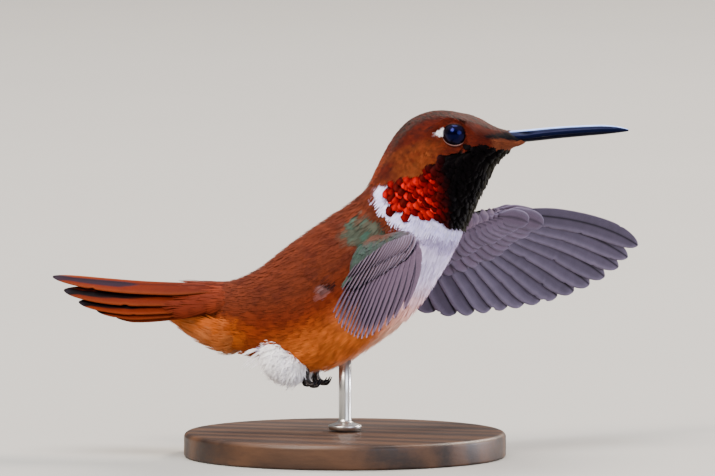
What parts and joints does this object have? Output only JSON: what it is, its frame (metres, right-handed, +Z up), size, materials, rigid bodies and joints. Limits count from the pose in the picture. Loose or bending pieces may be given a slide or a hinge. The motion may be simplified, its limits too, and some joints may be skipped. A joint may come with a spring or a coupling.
{
  "type": "male rufous hummingbird model",
  "caption": "Life-size still model of a male rufous hummingbird hovering with spread wings, on a round base and rod.",
  "frame": {"origin": "middle of the underside of the display base, below the belly", "axes": "+X the way the bill points, +Y the bird's left side, +Z up"},
  "size_m": [0.0855, 0.0968, 0.0497],
  "materials": {
    "head_feathers": "soft rufous and bronze feathers",
    "gorget_feathers": "glossy iridescent orange-red scale feathers",
    "white_feathers": "soft white down",
    "body_feathers": "soft orange-brown feathers",
    "tail_feathers": "rufous vanes with dark tips",
    "wing_feathers": "dusky vanes with a purple cast",
    "bill_horn": "satin blue-black horn",
    "eye_gloss": "wet black",
    "foot_skin": "fine black scales",
    "base_wood": "satin walnut",
    "rod_steel": "brushed"
  },
  "bodies": {
    "root": {"head": "head_feathers", "gorget": "gorget_feathers", "neck": "white_feathers", "torso": "body_feathers", "tail": "tail_feathers", "bill_upper": "bill_horn", "bill_lower": "bill_horn", "eye_right": "eye_gloss", "eye_left": "eye_gloss", "wing_right": "wing_feathers", "wing_left": "wing_feathers", "thigh_right": "white_feathers", "thigh_left": "white_feathers", "foot_right": "foot_skin", "foot_left": "foot_skin", "stand_base": "base_wood", "stand_rod": "rod_steel"}
  },
  "joints": []
}
